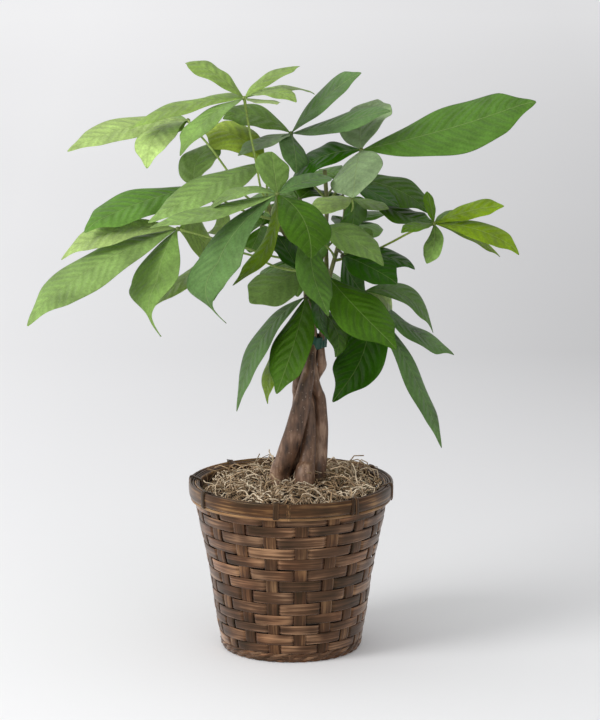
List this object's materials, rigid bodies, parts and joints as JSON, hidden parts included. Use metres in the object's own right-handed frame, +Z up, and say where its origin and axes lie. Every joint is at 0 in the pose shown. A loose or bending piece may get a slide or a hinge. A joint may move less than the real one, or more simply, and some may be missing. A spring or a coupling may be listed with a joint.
{
  "type": "potted money tree",
  "caption": "Braided money tree with palmate leaves, mossed over in a tapered woven basket that stands on a flat base.",
  "frame": {"origin": "middle of the basket's base, on the surface it stands on", "axes": "+Z up along the basket's axis, -Y to the front that the picture shows, +X to the right seen from the front"},
  "size_m": [0.4568, 0.31, 0.5513],
  "materials": {
    "wicker": "stained split bamboo strip, satin",
    "wicker_rim": "stained bamboo hoop, satin",
    "lashing": "dark split cane, satin",
    "pot_plastic": "moulded black nursery pot",
    "soil": "loose bark and peat potting mix, matt",
    "moss": "dried curly moss, matt",
    "bark": "smooth grey-brown bark, matt",
    "tie_tape": "stretch tape, satin",
    "leaf": "glossy living leaf with sunk veins",
    "leaf_young": "young thin leaf, satin"
  },
  "bodies": {
    "root": {"basket_base": "wicker", "basket_foot_band": "wicker", "basket_wall": "wicker", "rim_hoop_outer": "wicker_rim", "rim_hoop_inner": "wicker_rim", "rim_cane": "wicker_rim", "rim_lashing_1": "lashing", "rim_lashing_2": "lashing", "rim_lashing_3": "lashing", "rim_lashing_4": "lashing", "rim_lashing_5": "lashing", "rim_lashing_6": "lashing", "rim_lashing_7": "lashing", "rim_lashing_8": "lashing", "grow_pot": "pot_plastic", "soil": "soil", "moss": "moss", "stem_left": "bark", "stem_front": "bark", "stem_right": "bark", "stem_back_left": "bark", "stem_back": "bark", "braid_tie": "tie_tape", "leaf_top_left": "leaf_young", "leaf_upper_left": "leaf", "leaf_left": "leaf", "leaf_top_middle": "leaf", "leaf_upper_right": "leaf", "leaf_front": "leaf", "leaf_inner_left": "leaf", "leaf_lower_left": "leaf", "leaf_low_inner_left": "leaf", "leaf_young_right": "leaf_young", "leaf_inner_right": "leaf", "leaf_small_middle": "leaf", "leaf_inner_middle": "leaf", "leaf_front_right": "leaf", "leaf_right": "leaf", "leaf_low_middle_left": "leaf", "leaf_low_front": "leaf", "leaf_low_front_right": "leaf", "leaf_low_right": "leaf", "leaf_back_top": "leaf", "leaf_back_upper": "leaf", "leaf_back_right": "leaf", "leaf_back_left": "leaf", "leaf_back_low": "leaf"}
  },
  "joints": []
}
